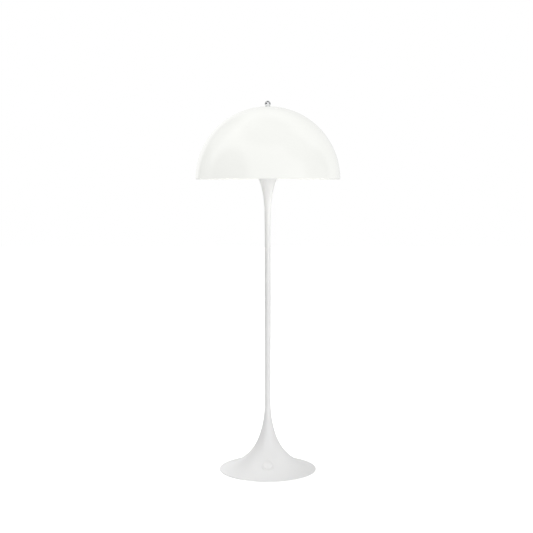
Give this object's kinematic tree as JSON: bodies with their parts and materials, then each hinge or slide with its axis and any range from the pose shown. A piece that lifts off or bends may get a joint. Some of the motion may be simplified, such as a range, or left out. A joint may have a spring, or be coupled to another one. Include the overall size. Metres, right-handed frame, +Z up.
{
  "type": "mushroom floor lamp",
  "caption": "Floor lamp with a half-sphere opal shade on a slender white stem, a trumpet-shaped foot with a push foot switch, and a chrome ball knob on top.",
  "frame": {"origin": "on the floor, under the stem's axis", "axes": "+Z up along the stem; the foot switch faces -Y and the mains cord's inlet faces +Y"},
  "size_m": [0.5, 0.5, 1.2862],
  "materials": {
    "lacquer": "white gloss lacquer",
    "opal_acrylic": "opal, lit from inside",
    "chrome": "polished",
    "white_abs": "moulded satin gloss",
    "zinc_steel": "zinc plated",
    "cast_iron": "black primed casting",
    "rubber": "matt",
    "brass": "turned",
    "nickel": "nickel plated",
    "terminal_plastic": "moulded",
    "ceramic": "unglazed",
    "pvc_sheath": "extruded",
    "spring_steel": "drawn wire",
    "white_wire": "white powder coat",
    "silicone": "translucent grey",
    "black_glass": "glossy",
    "bulb_housing": "moulded",
    "bulb_opal": "opal, lit"
  },
  "bodies": {
    "stand": {"foot_ring": "rubber", "base_plate": "zinc_steel", "plate_screws": "zinc_steel", "base_weight": "cast_iron", "weight_screws": "zinc_steel", "base_trumpet": "lacquer", "cord_bush": "white_abs", "terminal_block": "terminal_plastic", "terminal_screws": "brass", "block_screws": "zinc_steel", "switch_bezel": "white_abs", "switch_nut": "terminal_plastic", "switch_body": "terminal_plastic", "switch_neck_nut": "brass", "switch_lugs": "brass", "switch_spring": "spring_steel", "switch_leads": "pvc_sheath", "riser_lead": "pvc_sheath", "stem_washer": "zinc_steel", "stem_lock_nut": "zinc_steel", "stem_nipple": "zinc_steel", "stem_spigot": "zinc_steel", "stem_tube": "lacquer", "stem_coupler": "lacquer", "upper_trumpet": "lacquer", "holder_nipple": "zinc_steel", "centring_disc": "zinc_steel", "trumpet_nut": "zinc_steel", "holder_nut": "zinc_steel", "carrier_ring": "white_wire", "carrier_legs": "white_wire", "carrier_hub": "white_wire", "carrier_stud": "zinc_steel", "lampholder_cap": "terminal_plastic", "lampholder_insert": "ceramic", "lampholder_contact": "brass", "lampholder_shell": "nickel", "lampholder_sleeve": "terminal_plastic", "bulb_tip": "brass", "bulb_insulator": "black_glass", "bulb_cap": "nickel", "bulb_housing": "bulb_housing", "bulb_globe": "bulb_opal", "shade_seat": "silicone", "shade": "opal_acrylic"},
    "push_button": {"switch_button": "white_abs", "switch_plunger": "zinc_steel"},
    "knob_lifter": {"knob_washer": "chrome"},
    "knob": {"finial_knob": "chrome"}
  },
  "joints": [
    {"name": "switch_press", "type": "slide", "parent": "stand", "child": "push_button", "axis": [0, 0.5779, -0.8161], "range_m": [0, 0.0035], "stiffness_N_per_m": 1500, "springref_m": -0.003, "deforming": ["switch_spring"]},
    {"name": "knob_rise", "type": "slide", "parent": "stand", "child": "knob_lifter", "axis": [0, 0, 1], "range_m": [0, 0.011]},
    {"name": "knob_turn", "type": "hinge", "parent": "knob_lifter", "child": "knob", "pos_m": [0, 0, 1.2756], "axis": [0, 0, 1], "range_deg": [0, 3960]}
  ],
  "couplings": [
    {"joint": "knob_rise", "follows": "knob_turn", "m_per_rad": 0.00015915}
  ]
}
